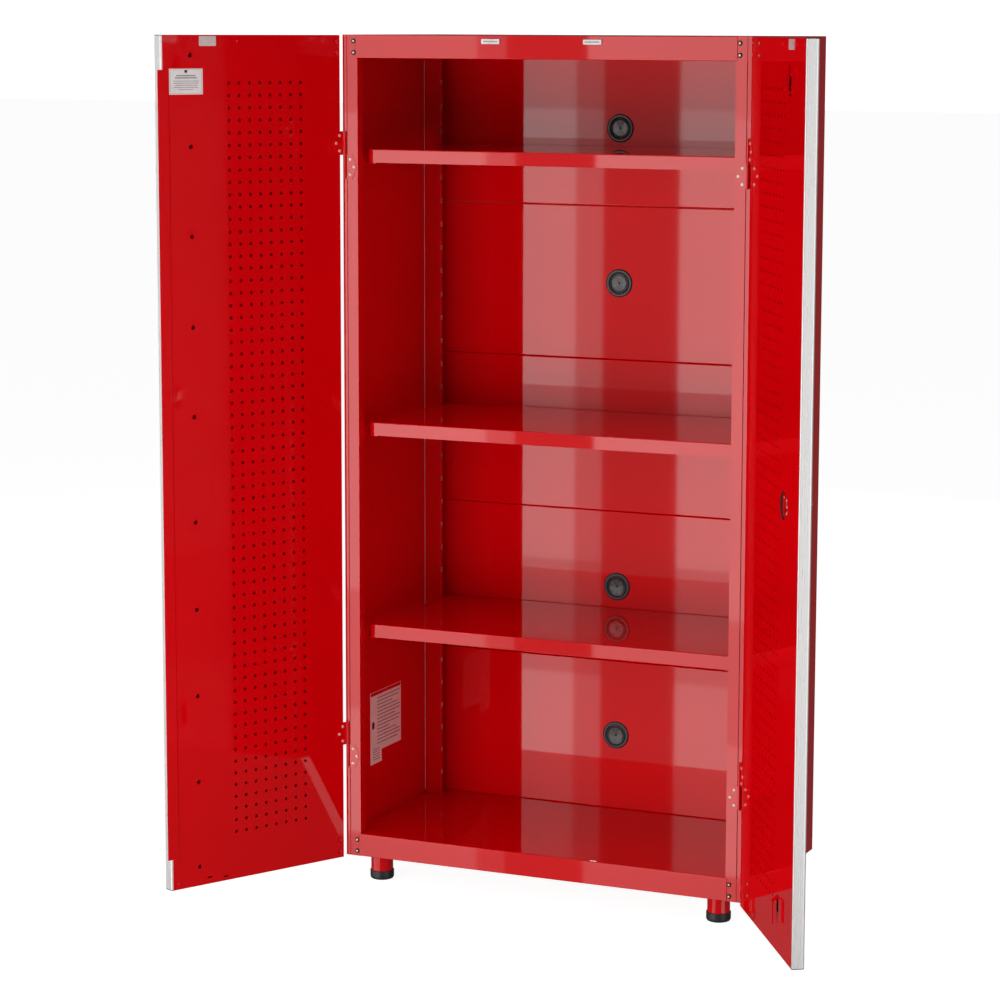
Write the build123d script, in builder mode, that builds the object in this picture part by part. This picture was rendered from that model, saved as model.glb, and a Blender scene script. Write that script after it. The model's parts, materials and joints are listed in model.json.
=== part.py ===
"""Freestanding two-door steel storage cabinet.

Frame: origin on the floor under the centre of the body, +Z up, +X to the right seen
from the front, -Y towards the front. Millimetres.
"""
from build123d import *
import os
from math import radians, tan

os.makedirs("parts", exist_ok=True)

# --- Body ---------------------------------------------------------------------
WIDTH = 914.0
DEPTH = 463.0
HEIGHT = 1829.0
BODY_BOTTOM = 56.0
SHEET = 1.0
BEND = 1.5
FRONT = -DEPTH / 2
REAR = DEPTH / 2
WALL = WIDTH / 2 - SHEET
FLOOR_TOP = 106.0
HEADER_BOTTOM = 1780.0
RAIL_Y = FRONT + SHEET
FLANGE_GAP = 2.0
LIP_HALF = 425.4
LIP_FACE = FRONT - 1.0

SIDE_FRONT_FLANGE = 10.6
SIDE_HEM = 11.0
SIDE_REAR_FLANGE = 22.0

POST_INNER = 422.0
POST_OUTER = 445.6
POST_RETURN = 24.0
POST_WEB_Y = 12.0
POST_WALL_LEG = 30.0
REAR_POST_Y = FRONT + 394.0
REAR_POST_INNER = 415.5
REAR_POST_TOP = 1796.0
SLOT_TOP = 1722.5
SLOT_PITCH = 52.2
SLOT_COUNT = 31
SLOT_SIZE = (3.4, 8.0)

TOP_HALF = 455.4
TOP_FLANGE_BOTTOM = 1797.0
TOP_RETURN = 19.0
FLOOR_HALF = 455.0
FLOOR_RETURN = 15.0

BACK_Y = FRONT + 433.0
BACK_HALF = 454.0
BACK_COUNT = 5
BACK_PITCH = 338.3
BACK_GAP = 0.5
CORNER_SCREW_HEIGHTS = (1815.5, 1791.7, 92.3, 67.2)
GROMMET_R = 31.0
GROMMET_HOLE_R = 27.0

# --- Doors, in leaf coordinates: x from the pin along the leaf, y inward, z up --
PIN_X = 451.0
PIN_Y = FRONT - 3.5
LEFT_OPEN = 117.74
RIGHT_OPEN = 122.86
INNER = -2.9
LEAF_THICKNESS = 24.0
OUTER = INNER - LEAF_THICKNESS
LEAF_HINGE_EDGE = 9.5
SHELL_FREE_EDGE = 443.0
PANEL_FREE_EDGE = 444.8
TRIM_FACE = 449.0
DOOR_BOTTOM = 53.0
DOOR_TOP = 1828.0
CAP = 1.5
PEG_PITCH = 25.4
PEG_COLUMNS = 8
PEG_ROWS = 63
PEG_FIRST_X = 109.0
PEG_TOP = 1730.0
PEG_R = 3.25
KEYHOLE_X = 379.4
KEYHOLES_UP = (1787.0, 1602.0, 1419.0, 1233.0, 1048.0)
KEYHOLES_DOWN = (828.0, 644.0, 461.0, 277.0, 94.0)
CLEARANCE_X = 18.5
CLEARANCE_R = 6.0
WELD_X = 41.2
WELD_TOP = 1669.0
WELD_PITCH = 146.2
WELD_COUNT = 9

# --- Hinges -------------------------------------------------------------------
HINGE_CENTRES = (1577.0, 303.0)
HINGE_HALF = 50.0
KNUCKLE_R = 3.0
PIN_R = 1.5
PIN_CLEARANCE = 0.05
LEAF_PLATE = 1.2
RIVET_NEAR = 11.8
RIVET_FAR = 20.8
RIVET_RISE = 16.0
RIVET_FIRST = 9.0
RIVET_HEAD_R = 3.2

# --- Lock and rods, in leaf coordinates ------------------------------------------
LOCK_X = 328.0
LOCK_Z = 940.0
ACCESS_R = 28.5
BARREL_R = 9.0
PLUG_R = 6.5
CRANK = 12.5
DRIVE_PIN_R = 2.5
ROD_WIDTH = 12.0
ROD_THICKNESS = 3.0
ROD_CAVITY_Y = -8.4
ROD_OUTER_Y = 8.0
ROD_TRAVEL = 25.0
UPPER_TIP = 1775.0
LOWER_TIP = 111.0
JOG_UPPER = 1722.0
JOG_LOWER = 167.0
JOG_RISE = 11.0
NOTCH_X = PIN_X - LOCK_X

# --- Shelves, legs ----------------------------------------------------------------
SHELF_TOPS = (1589.0, 1006.0, 565.0)
SHELF_HALF = 413.8
SHELF_FRONT = FRONT + 36.0
SHELF_BACK = FRONT + 430.0
SHELF_LIP = 28.5
SHELF_RETURN = 12.0
LEG_X = 392.0
LEG_YS = (FRONT + 44.0, FRONT + 419.0)
TUBE_R = 24.0
TUBE_BOTTOM = 9.0
FOOT_R = 26.0
FOOT_HEIGHT = 20.0
STUD_R = 5.0
STUD_CLEARANCE = 0.05

LEFT_LEAF = Location((-PIN_X, PIN_Y, 0), (0, 0, -LEFT_OPEN))
RIGHT_LEAF = Location((PIN_X, PIN_Y, 0), (0, 0, 180 + RIGHT_OPEN))


def save(piece, label):
    """Label a finished piece and write it as its own STEP file."""
    piece.label = label
    export_step(piece, f"parts/{label}.step")


def folded(points, thickness=SHEET, bend=BEND, side=Side.RIGHT):
    """Section of a folded sheet whose outer line runs through the points."""
    with BuildLine() as run:
        FilletPolyline(*points, radius=bend)
        offset(amount=thickness, side=side)
    make_face(run.edges())


def block(x, y, z, mode=Mode.ADD):
    """Rectangular block given its (low, high) range on each axis."""
    with Locations([((x[0] + x[1]) / 2, (y[0] + y[1]) / 2, (z[0] + z[1]) / 2)]):
        Box(x[1] - x[0], y[1] - y[0], z[1] - z[0], mode=mode)


def slot_heights():
    """Heights of the shelf slots in the posts."""
    return [SLOT_TOP - SLOT_PITCH * index for index in range(SLOT_COUNT)]


def nearest_slot(height):
    """Height of the shelf slot closest to a given height."""
    return min(slot_heights(), key=lambda slot: abs(slot - height))


# ==============================================================================
# Carcass
# ==============================================================================
with BuildPart() as left_side_panel:
    with BuildSketch(Plane.XY.offset(BODY_BOTTOM)):
        flange_x = -WIDTH / 2 + SIDE_FRONT_FLANGE
        folded([
            (flange_x, FRONT + SIDE_HEM),
            (flange_x, FRONT),
            (-WIDTH / 2, FRONT),
            (-WIDTH / 2, REAR),
            (-WIDTH / 2 + SIDE_REAR_FLANGE, REAR),
        ])
    extrude(amount=HEIGHT - BODY_BOTTOM)
    hem_x = (flange_x - 2 * SHEET, flange_x + SHEET)
    hem_y = (FRONT + SHEET, FRONT + SIDE_HEM + SHEET)
    block(hem_x, hem_y, (BODY_BOTTOM - 1, FLOOR_TOP + FLANGE_GAP), Mode.SUBTRACT)
    block(hem_x, hem_y, (HEADER_BOTTOM - FLANGE_GAP, HEIGHT + 1), Mode.SUBTRACT)

with BuildPart() as right_side_panel:
    mirror(left_side_panel.part, about=Plane.YZ)

with BuildPart() as front_post_left:
    with BuildSketch(Plane.XY.offset(FLOOR_TOP + FLANGE_GAP)):
        folded([
            (-POST_INNER, FRONT + POST_RETURN),
            (-POST_INNER, FRONT),
            (-POST_OUTER, FRONT),
            (-POST_OUTER, FRONT + POST_WEB_Y),
            (-WALL, FRONT + POST_WEB_Y),
            (-WALL, FRONT + POST_WALL_LEG),
        ])
    extrude(amount=HEADER_BOTTOM - FLOOR_TOP - 2 * FLANGE_GAP)
    with BuildSketch(Plane.XY.offset(BODY_BOTTOM)):
        with Locations((-(POST_INNER + POST_OUTER) / 2, FRONT + SHEET / 2)):
            Rectangle(POST_OUTER - POST_INNER, SHEET)
    extrude(amount=HEIGHT - BODY_BOTTOM)
    for slot_z in slot_heights():
        block(
            (-POST_INNER - 2, -POST_INNER + 1),
            (FRONT + 10, FRONT + 10 + SLOT_SIZE[0]),
            (slot_z - SLOT_SIZE[1] / 2, slot_z + SLOT_SIZE[1] / 2),
            Mode.SUBTRACT,
        )

with BuildPart() as front_post_right:
    mirror(front_post_left.part, about=Plane.YZ)

with BuildPart() as rear_post_left:
    with BuildSketch(Plane.XY.offset(FLOOR_TOP)):
        folded([
            (-REAR_POST_INNER, REAR_POST_Y + 12),
            (-REAR_POST_INNER, REAR_POST_Y),
            (-WALL, REAR_POST_Y),
            (-WALL, REAR_POST_Y + 34),
        ])
    extrude(amount=REAR_POST_TOP - FLOOR_TOP)
    for slot_z in slot_heights():
        block(
            (-REAR_POST_INNER - 2, -REAR_POST_INNER + 1),
            (REAR_POST_Y + 3, REAR_POST_Y + 3 + SLOT_SIZE[0]),
            (slot_z - SLOT_SIZE[1] / 2, slot_z + SLOT_SIZE[1] / 2),
            Mode.SUBTRACT,
        )

with BuildPart() as rear_post_right:
    mirror(rear_post_left.part, about=Plane.YZ)

# Magnetic catches sit in two windows of the header face.
CATCH_X = 113.5
CATCH_HALF = 20.1
CATCH_Z = 1816.0
CATCH_HALF_Z = 5.0
CATCH_FACE = FRONT - 4.6
CATCH_BODY_HALF = 18.0
CATCH_BODY_HALF_Z = 4.0
MAGNET_HALF = 16.0
MAGNET_HALF_Z = 1.6
MAGNET_DEPTH = 3.0

with BuildPart() as header_lip:
    block((-LIP_HALF, LIP_HALF), (LIP_FACE, FRONT), (HEADER_BOTTOM + 0.5, HEIGHT - 0.5))
    fillet(header_lip.faces().sort_by(Axis.Y)[0].edges(), radius=0.8)
    block(
        (-POST_INNER + 0.4, POST_INNER - 0.4),
        (FRONT, RAIL_Y + 0.5),
        (HEADER_BOTTOM + 0.5, HEIGHT - 0.5),
    )
    for catch_x in (-CATCH_X, CATCH_X):
        block(
            (catch_x - CATCH_HALF - 0.4, catch_x + CATCH_HALF + 0.4),
            (LIP_FACE - 1, RAIL_Y + 1),
            (CATCH_Z - CATCH_HALF_Z - 0.4, CATCH_Z + CATCH_HALF_Z + 0.4),
            Mode.SUBTRACT,
        )

with BuildPart() as top_panel:
    with BuildSketch(Plane.YZ):
        folded([
            (REAR - SHEET, TOP_FLANGE_BOTTOM),
            (REAR - SHEET, HEIGHT),
            (RAIL_Y, HEIGHT),
            (RAIL_Y, HEADER_BOTTOM),
            (RAIL_Y + TOP_RETURN, HEADER_BOTTOM),
        ], side=Side.LEFT)
    extrude(amount=TOP_HALF, both=True)
    for x in ((-TOP_HALF, -TOP_HALF + SHEET), (TOP_HALF - SHEET, TOP_HALF)):
        block(x, (FRONT + 30, REAR - 2 * BEND), (TOP_FLANGE_BOTTOM, HEIGHT - SHEET / 2))
    add(header_lip.part)
    for catch_x in (-CATCH_X, CATCH_X):
        block(
            (catch_x - CATCH_BODY_HALF, catch_x + CATCH_BODY_HALF),
            (RAIL_Y - 1, RAIL_Y + 2),
            (CATCH_Z - CATCH_BODY_HALF_Z, CATCH_Z + CATCH_BODY_HALF_Z),
            Mode.SUBTRACT,
        )
    block(
        (NOTCH_X - 8, NOTCH_X + 8),
        (RAIL_Y + 1.5, RAIL_Y + 8.5),
        (HEADER_BOTTOM - 1, HEADER_BOTTOM + 2),
        Mode.SUBTRACT,
    )

with BuildPart() as floor_lip:
    block((-LIP_HALF, LIP_HALF), (LIP_FACE, FRONT), (BODY_BOTTOM + 0.5, FLOOR_TOP - 0.5))
    fillet(floor_lip.faces().sort_by(Axis.Y)[0].edges(), radius=0.8)
    block(
        (-POST_INNER + 0.4, POST_INNER - 0.4),
        (FRONT, RAIL_Y + 0.5),
        (BODY_BOTTOM + 0.5, FLOOR_TOP - 0.5),
    )

with BuildPart() as floor_pan:
    with BuildSketch(Plane.YZ):
        folded([
            (REAR - SHEET, BODY_BOTTOM),
            (REAR - SHEET, FLOOR_TOP),
            (RAIL_Y, FLOOR_TOP),
            (RAIL_Y, BODY_BOTTOM),
            (RAIL_Y + FLOOR_RETURN, BODY_BOTTOM),
        ], side=Side.LEFT)
    extrude(amount=FLOOR_HALF, both=True)
    for x in ((-FLOOR_HALF, -FLOOR_HALF + SHEET), (FLOOR_HALF - SHEET, FLOOR_HALF)):
        block(x, (FRONT + 30, REAR - 2 * BEND), (BODY_BOTTOM, FLOOR_TOP - SHEET / 2))
    add(floor_lip.part)
    block(
        (NOTCH_X - 8, NOTCH_X + 8),
        (RAIL_Y + 2, RAIL_Y + 9),
        (FLOOR_TOP - 3, FLOOR_TOP + 1),
        Mode.SUBTRACT,
    )

# Flanged back panels, open to the rear, each with a cable hole.
for index in range(BACK_COUNT):
    back_bottom = FLOOR_TOP + BACK_PITCH * index
    back_top = back_bottom + BACK_PITCH - BACK_GAP
    back_mid = (back_bottom + back_top) / 2
    with BuildPart() as back_panel:
        block((-BACK_HALF, BACK_HALF), (BACK_Y, REAR - SHEET), (back_bottom, back_top))
        fillet(back_panel.faces().sort_by(Axis.Y)[0].edges(), radius=2.5)
        offset(amount=-SHEET, openings=back_panel.faces().sort_by(Axis.Y)[-1])
        with BuildSketch(Plane.XZ.offset(-BACK_Y)):
            with Locations((0, back_mid)):
                Circle(GROMMET_HOLE_R)
        extrude(amount=-2 * SHEET, mode=Mode.SUBTRACT)
    save(back_panel.part, f"back_panel_{index + 1}")

GROMMET_PLACES = [
    (0, BACK_Y, FLOOR_TOP + BACK_PITCH * (index + 0.5) - BACK_GAP / 2)
    for index in range(BACK_COUNT)
]

with BuildPart() as grommet:
    with BuildSketch(Plane.XY):
        with BuildLine():
            Polyline(
                (23.0, -1.2),
                (25.0, -2.4),
                (28.5, -2.4),
                (GROMMET_R, -0.9),
                (GROMMET_R, 0),
                (GROMMET_HOLE_R, 0),
                (GROMMET_HOLE_R, 7),
                (25.4, 7),
                (25.4, 1.5),
                (23.0, 1.5),
                close=True,
            )
        make_face()
    revolve(axis=Axis.Y)

with BuildPart() as cable_grommets:
    with Locations(*GROMMET_PLACES):
        add(grommet.part)

with BuildPart() as grommet_cap:
    with BuildSketch(Plane.XY):
        with BuildLine():
            Polyline(
                (0, -2.6),
                (1.8, -2.2),
                (2.4, -0.4),
                (17.0, -0.9),
                (21.0, -1.9),
                (22.9, -1.2),
                (22.9, 1.5),
                (20.5, 1.5),
                (17.0, 0.6),
                (0, 1.0),
                close=True,
            )
        make_face()
    revolve(axis=Axis.Y)

with BuildPart() as grommet_caps:
    with Locations(*GROMMET_PLACES):
        add(grommet_cap.part)

with BuildPart() as corner_screw:
    with BuildSketch(Plane.XZ.offset(-FRONT)):
        Circle(4.2)
    extrude(amount=2.0)
    fillet(corner_screw.faces().sort_by(Axis.Y)[0].edges(), radius=1.2)
    with BuildSketch(Plane.XZ.offset(-FRONT + 2.0)):
        Rectangle(4.4, 0.9)
        Rectangle(0.9, 4.4)
    extrude(amount=-0.8, mode=Mode.SUBTRACT)

with BuildPart() as corner_screws:
    with Locations(*[
        (side * 430.2, 0, screw_z)
        for side in (-1, 1)
        for screw_z in CORNER_SCREW_HEIGHTS
    ]):
        add(corner_screw.part)

with BuildPart() as magnetic_catches:
    for catch_x in (-CATCH_X, CATCH_X):
        with BuildSketch(Plane.XZ.offset(-CATCH_FACE)):
            with Locations((catch_x, CATCH_Z)):
                RectangleRounded(2 * CATCH_HALF, 2 * CATCH_HALF_Z, 1.5)
        extrude(amount=-(RAIL_Y - CATCH_FACE))
        block(
            (catch_x - CATCH_BODY_HALF, catch_x + CATCH_BODY_HALF),
            (RAIL_Y - 1, RAIL_Y + 12),
            (CATCH_Z - CATCH_BODY_HALF_Z, CATCH_Z + CATCH_BODY_HALF_Z),
        )
        block(
            (catch_x - MAGNET_HALF, catch_x + MAGNET_HALF),
            (CATCH_FACE - 1, CATCH_FACE + MAGNET_DEPTH),
            (CATCH_Z - MAGNET_HALF_Z, CATCH_Z + MAGNET_HALF_Z),
            Mode.SUBTRACT,
        )

with BuildPart() as catch_magnets:
    for catch_x in (-CATCH_X, CATCH_X):
        block(
            (catch_x - MAGNET_HALF, catch_x + MAGNET_HALF),
            (CATCH_FACE, CATCH_FACE + MAGNET_DEPTH),
            (CATCH_Z - MAGNET_HALF_Z, CATCH_Z + MAGNET_HALF_Z),
        )

with BuildPart() as interior_label:
    with BuildSketch(Plane.YZ.offset(-WALL)):
        with Locations((FRONT + 192, 322.5)):
            Rectangle(152, 135)
        with Locations((FRONT + 143.5, 241.5)):
            Rectangle(55, 27)
    extrude(amount=0.3)

# ==============================================================================
# Hinges. The door leaf is above the joint, the frame leaf below it.
# ==============================================================================


def rivet_offsets(direction):
    """(distance from pin, height from the joint) of one leaf's three rivets."""
    return [
        (RIVET_NEAR, direction * RIVET_FIRST),
        (RIVET_FAR, direction * (RIVET_FIRST + RIVET_RISE)),
        (RIVET_NEAR, direction * (RIVET_FIRST + 2 * RIVET_RISE)),
    ]


def leaf_outline(direction):
    """Tapered outline of a hinge leaf, from the joint to its outer end."""
    return [
        (1.0, direction * 0.2),
        (16.0, direction * 0.2),
        (25.0, direction * 16.0),
        (25.0, direction * 34.0),
        (16.0, direction * HINGE_HALF),
        (1.0, direction * HINGE_HALF),
    ]


# Frame leaf of the left side, pin axis on the Z axis.
with BuildPart() as frame_leaf:
    with BuildSketch(Plane.XZ.offset(PIN_Y - FRONT)):
        with BuildLine():
            Polyline(*leaf_outline(-1), close=True)
        make_face()
    extrude(amount=LEAF_PLATE)
    with BuildSketch(Plane.XY.offset(-HINGE_HALF)):
        Circle(KNUCKLE_R)
    extrude(amount=HINGE_HALF - 0.2)
    with BuildSketch(Plane.XY.offset(-HINGE_HALF)):
        Circle(PIN_R)
    extrude(amount=HINGE_HALF, mode=Mode.SUBTRACT)

with BuildPart() as right_frame_leaf:
    mirror(frame_leaf.part, about=Plane.YZ)

with BuildPart() as hinge_frame_leaves:
    with Locations(*[(-PIN_X, PIN_Y, z) for z in HINGE_CENTRES]):
        add(frame_leaf.part)
    with Locations(*[(PIN_X, PIN_Y, z) for z in HINGE_CENTRES]):
        add(right_frame_leaf.part)

with BuildPart() as hinge_pins:
    with Locations(*[(side * PIN_X, PIN_Y, z) for side in (-1, 1) for z in HINGE_CENTRES]):
        Cylinder(PIN_R, 2 * HINGE_HALF - 2)

with BuildPart() as rivet:
    with BuildSketch(Plane.XZ):
        Circle(RIVET_HEAD_R)
    extrude(amount=1.5)
    fillet(rivet.faces().sort_by(Axis.Y)[0].edges(), radius=1.1)

with BuildPart() as frame_leaf_rivets:
    with Locations(*[
        (side * (PIN_X - distance), FRONT - LEAF_PLATE, z + height)
        for side in (-1, 1)
        for z in HINGE_CENTRES
        for distance, height in rivet_offsets(-1)
    ]):
        add(rivet.part)

# ==============================================================================
# Door pieces in leaf coordinates
# ==============================================================================
with BuildPart() as leaf_hinge_leaves:
    for z in HINGE_CENTRES:
        with BuildSketch(Plane.XZ.offset(-INNER)):
            with BuildLine():
                Polyline(*[(x, z + height) for x, height in leaf_outline(1)], close=True)
            make_face()
        extrude(amount=-LEAF_PLATE)
        with BuildSketch(Plane.XY.offset(z + 0.2)):
            Circle(KNUCKLE_R)
        extrude(amount=HINGE_HALF - 0.2)
        with BuildSketch(Plane.XY.offset(z)):
            Circle(PIN_R + PIN_CLEARANCE)
        extrude(amount=HINGE_HALF + 1, mode=Mode.SUBTRACT)

with BuildPart() as leaf_rivets:
    with Locations(*[
        Location((distance, INNER + LEAF_PLATE, z + height), (0, 0, 180))
        for z in HINGE_CENTRES
        for distance, height in rivet_offsets(1)
    ]):
        add(rivet.part)

with BuildPart() as leaf_shell:
    block(
        (LEAF_HINGE_EDGE, SHELL_FREE_EDGE),
        (OUTER, INNER - SHEET),
        (DOOR_BOTTOM, DOOR_TOP),
    )
    outer_face = leaf_shell.faces().sort_by(Axis.Y)[0]
    fillet(outer_face.edges().sort_by(Axis.X)[:3], radius=3)
    offset(amount=-SHEET, openings=leaf_shell.faces().sort_by(Axis.Y)[-1])

with BuildPart() as locked_leaf_shell:
    add(leaf_shell.part)
    with BuildSketch(Plane.XZ.offset(-OUTER)):
        with Locations((LOCK_X, LOCK_Z)):
            Circle(BARREL_R)
    extrude(amount=-2 * SHEET, mode=Mode.SUBTRACT)

with BuildPart() as leaf_panel:
    panel_mid = (LEAF_HINGE_EDGE + PANEL_FREE_EDGE) / 2
    with BuildSketch(Plane.XZ.offset(-INNER)):
        with Locations((panel_mid, (DOOR_BOTTOM + DOOR_TOP) / 2)):
            Rectangle(PANEL_FREE_EDGE - LEAF_HINGE_EDGE, DOOR_TOP - DOOR_BOTTOM)
        peg_x = PEG_FIRST_X + PEG_PITCH * (PEG_COLUMNS - 1) / 2
        peg_z = PEG_TOP - PEG_PITCH * (PEG_ROWS - 1) / 2
        with Locations((peg_x, peg_z)):
            with GridLocations(PEG_PITCH, PEG_PITCH, PEG_COLUMNS, PEG_ROWS):
                Circle(PEG_R, mode=Mode.SUBTRACT)
        with Locations(*[(CLEARANCE_X, z) for z in CORNER_SCREW_HEIGHTS]):
            Circle(CLEARANCE_R, mode=Mode.SUBTRACT)
    extrude(amount=SHEET)
    # Spot-weld dimples near the hinge edge
    with BuildSketch(Plane.XZ.offset(-INNER)):
        with Locations(*[(WELD_X, WELD_TOP - WELD_PITCH * i) for i in range(WELD_COUNT)]):
            Circle(2.6)
    extrude(amount=0.3, mode=Mode.SUBTRACT)

with BuildPart() as keyhole_cutter:
    with BuildSketch(Plane.XZ.offset(-INNER - 1)):
        for heights, direction in ((KEYHOLES_UP, 1), (KEYHOLES_DOWN, -1)):
            with Locations(*[(KEYHOLE_X, z) for z in heights]):
                Circle(4.2)
            with Locations(*[(KEYHOLE_X, z + direction * 3.5) for z in heights]):
                SlotCenterToCenter(3, 3.6, rotation=90)
    extrude(amount=3)

with BuildPart() as left_leaf_panel:
    add(leaf_panel.part)
    add(keyhole_cutter.part, mode=Mode.SUBTRACT)
    with BuildSketch(Plane.XZ.offset(-INNER - 1)):
        with Locations((314.4, 62), (354.4, 67)):
            SlotCenterToCenter(8, 3.2)
    extrude(amount=3, mode=Mode.SUBTRACT)

with BuildPart() as right_leaf_panel:
    add(leaf_panel.part)
    with BuildSketch(Plane.XZ.offset(-INNER - 1)):
        with Locations((LOCK_X, LOCK_Z - 2)):
            Circle(ACCESS_R)
        with Locations((LOCK_X, 1737), (LOCK_X, 151)):
            RectangleRounded(ROD_WIDTH + 2, 36, 1)
    extrude(amount=3, mode=Mode.SUBTRACT)

with BuildPart() as leaf_trim:
    with BuildSketch(Plane.XY.offset(DOOR_BOTTOM + CAP)):
        with BuildLine() as trim_line:
            FilletPolyline(
                (430.0, OUTER - 1.6),
                (TRIM_FACE, OUTER - 1.6),
                (TRIM_FACE, INNER),
                (PANEL_FREE_EDGE, INNER),
                radius=[5.0, 2.2],
            )
            offset(amount=1.6, side=Side.LEFT)
        make_face(trim_line.edges())
    extrude(amount=DOOR_TOP - DOOR_BOTTOM - 2 * CAP)

with BuildPart() as leaf_trim_caps:
    for z in (DOOR_BOTTOM, DOOR_TOP - CAP):
        with BuildSketch(Plane.XY.offset(z)):
            with BuildLine():
                FilletPolyline(
                    (SHELL_FREE_EDGE, OUTER - 1.6),
                    (TRIM_FACE, OUTER - 1.6),
                    (TRIM_FACE, INNER),
                    (PANEL_FREE_EDGE, INNER),
                    radius=[5.0, 2.2],
                )
                Line((PANEL_FREE_EDGE, INNER), (PANEL_FREE_EDGE, INNER - SHEET))
                Line((PANEL_FREE_EDGE, INNER - SHEET), (SHELL_FREE_EDGE, INNER - SHEET))
                Line((SHELL_FREE_EDGE, INNER - SHEET), (SHELL_FREE_EDGE, OUTER - 1.6))
            make_face()
        extrude(amount=CAP)

STRIKE_X = PIN_X - CATCH_X
with BuildPart() as leaf_strike_plate:
    with BuildSketch(Plane.XZ.offset(-INNER)):
        with Locations((STRIKE_X, 1815.5)):
            RectangleRounded(40.2, 20, 2)
    extrude(amount=-1.5)

with BuildPart() as leaf_screws:
    with Locations(*[
        Location((LEAF_HINGE_EDGE + x, INNER, z), (0, 0, 180))
        for x, z in ((425, 1815), (365, 1815.4), (254, 1815.4), (420, 65))
    ]):
        add(rivet.part)

with BuildPart() as leaf_astragal:
    with BuildSketch(Plane.XY.offset(120)):
        with BuildLine():
            Polyline(
                (430.8, INNER),
                (430.8, INNER + 1.2),
                (432.3, INNER + 1.7),
                (457.3, INNER + 1.7),
                (457.3, INNER + 0.5),
                (450.0, INNER + 0.5),
                (449.0, INNER),
                close=True,
            )
        make_face()
    extrude(amount=1638)

with BuildPart() as leaf_label:
    with BuildSketch(Plane.XZ.offset(-INNER)):
        with Locations((389.4, 1734)):
            Rectangle(80, 52)
    extrude(amount=-0.2)

# ==============================================================================
# Left door
# ==============================================================================
with BuildPart() as left_door_shell:
    with Locations(LEFT_LEAF):
        add(leaf_shell.part)

with BuildPart() as left_door_panel:
    with Locations(LEFT_LEAF):
        add(left_leaf_panel.part)

with BuildPart() as left_door_trim:
    with Locations(LEFT_LEAF):
        add(leaf_trim.part)

with BuildPart() as left_trim_caps:
    with Locations(LEFT_LEAF):
        add(leaf_trim_caps.part)

with BuildPart() as left_door_hinge_leaves:
    with Locations(LEFT_LEAF):
        add(leaf_hinge_leaves.part)

with BuildPart() as left_door_rivets:
    with Locations(LEFT_LEAF):
        add(leaf_rivets.part)

with BuildPart() as left_strike_plate:
    with Locations(LEFT_LEAF):
        add(leaf_strike_plate.part)

with BuildPart() as left_door_screws:
    with Locations(LEFT_LEAF):
        add(leaf_screws.part)

with BuildPart() as astragal:
    with Locations(LEFT_LEAF):
        add(leaf_astragal.part)

with BuildPart() as left_door_label:
    with Locations(LEFT_LEAF):
        add(leaf_label.part)

# ==============================================================================
# Lock and rods in leaf coordinates. Heights run outward from the outer skin.
# ==============================================================================
LOCK_PLANE = Plane(origin=(LOCK_X, OUTER, LOCK_Z), x_dir=(1, 0, 0), z_dir=(0, -1, 0))

with BuildPart() as leaf_lock_housing:
    with BuildSketch(LOCK_PLANE):
        Circle(12.0)
    extrude(amount=5.0)
    fillet(leaf_lock_housing.faces().sort_by(Axis.Y)[0].edges(), radius=1.5)
    with BuildSketch(LOCK_PLANE.offset(-14)):
        Circle(BARREL_R)
    extrude(amount=14)
    with BuildSketch(LOCK_PLANE.offset(-14)):
        Circle(PLUG_R + PIN_CLEARANCE)
    extrude(amount=20, mode=Mode.SUBTRACT)

with BuildPart() as leaf_lock_nut:
    with BuildSketch(LOCK_PLANE.offset(-SHEET)):
        RegularPolygon(13.0, 6)
        Circle(BARREL_R, mode=Mode.SUBTRACT)
    extrude(amount=-4.0)
    chamfer(leaf_lock_nut.faces().sort_by(Axis.Y)[-1].outer_wire().edges(), length=0.6)

with BuildPart() as leaf_lock_plug:
    with BuildSketch(LOCK_PLANE.offset(-14.5)):
        Circle(PLUG_R)
    extrude(amount=20.0)
    with BuildSketch(LOCK_PLANE.offset(-9)):
        Rectangle(2.0, 8.0)
    extrude(amount=16.0, mode=Mode.SUBTRACT)

with BuildPart() as leaf_lock_cam:
    cam_plane = Plane(
        origin=LOCK_PLANE.offset(-16.5).origin,
        x_dir=(1, 0, -1),
        z_dir=(0, -1, 0),
    )
    with BuildSketch(cam_plane):
        SlotCenterToCenter(2 * CRANK * 2 ** 0.5, 11.0)
        Circle(8.0)
    extrude(amount=2.0)
    with BuildSketch(cam_plane.offset(-4.0)):
        with Locations((CRANK * 2 ** 0.5, 0), (-CRANK * 2 ** 0.5, 0)):
            Circle(DRIVE_PIN_R)
    extrude(amount=4.0)

# Key: blade in the plug's keyway, upright bow outside with a ring hole.
with BuildPart() as leaf_lock_key:
    with BuildSketch(Plane.YZ.offset(LOCK_X)):
        with Locations((OUTER - 3.5, LOCK_Z)):
            Rectangle(25.0, 8.0)
        with Locations((OUTER - 22.0, LOCK_Z)):
            Ellipse(10.0, 11.0)
        with Locations((OUTER - 26.0, LOCK_Z)):
            Circle(3.5, mode=Mode.SUBTRACT)
    extrude(amount=1.0, both=True)

# Bridges on the back of the lining hold the rods; domed studs keep the tips off it.
with BuildPart() as leaf_rod_guides:
    for bridge_z in (1690, 196):
        with BuildSketch(Plane.XY.offset(bridge_z)):
            folded([
                (LOCK_X - 14, INNER - SHEET),
                (LOCK_X - 7.6, INNER - SHEET),
                (LOCK_X - 7.6, ROD_CAVITY_Y - 2.8),
                (LOCK_X + 7.6, ROD_CAVITY_Y - 2.8),
                (LOCK_X + 7.6, INNER - SHEET),
                (LOCK_X + 14, INNER - SHEET),
            ], thickness=1.2)
        extrude(amount=17)
    with Locations(*[Location((LOCK_X, INNER, z), (0, 0, 180)) for z in (1758, 125)]):
        add(rivet.part)


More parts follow.
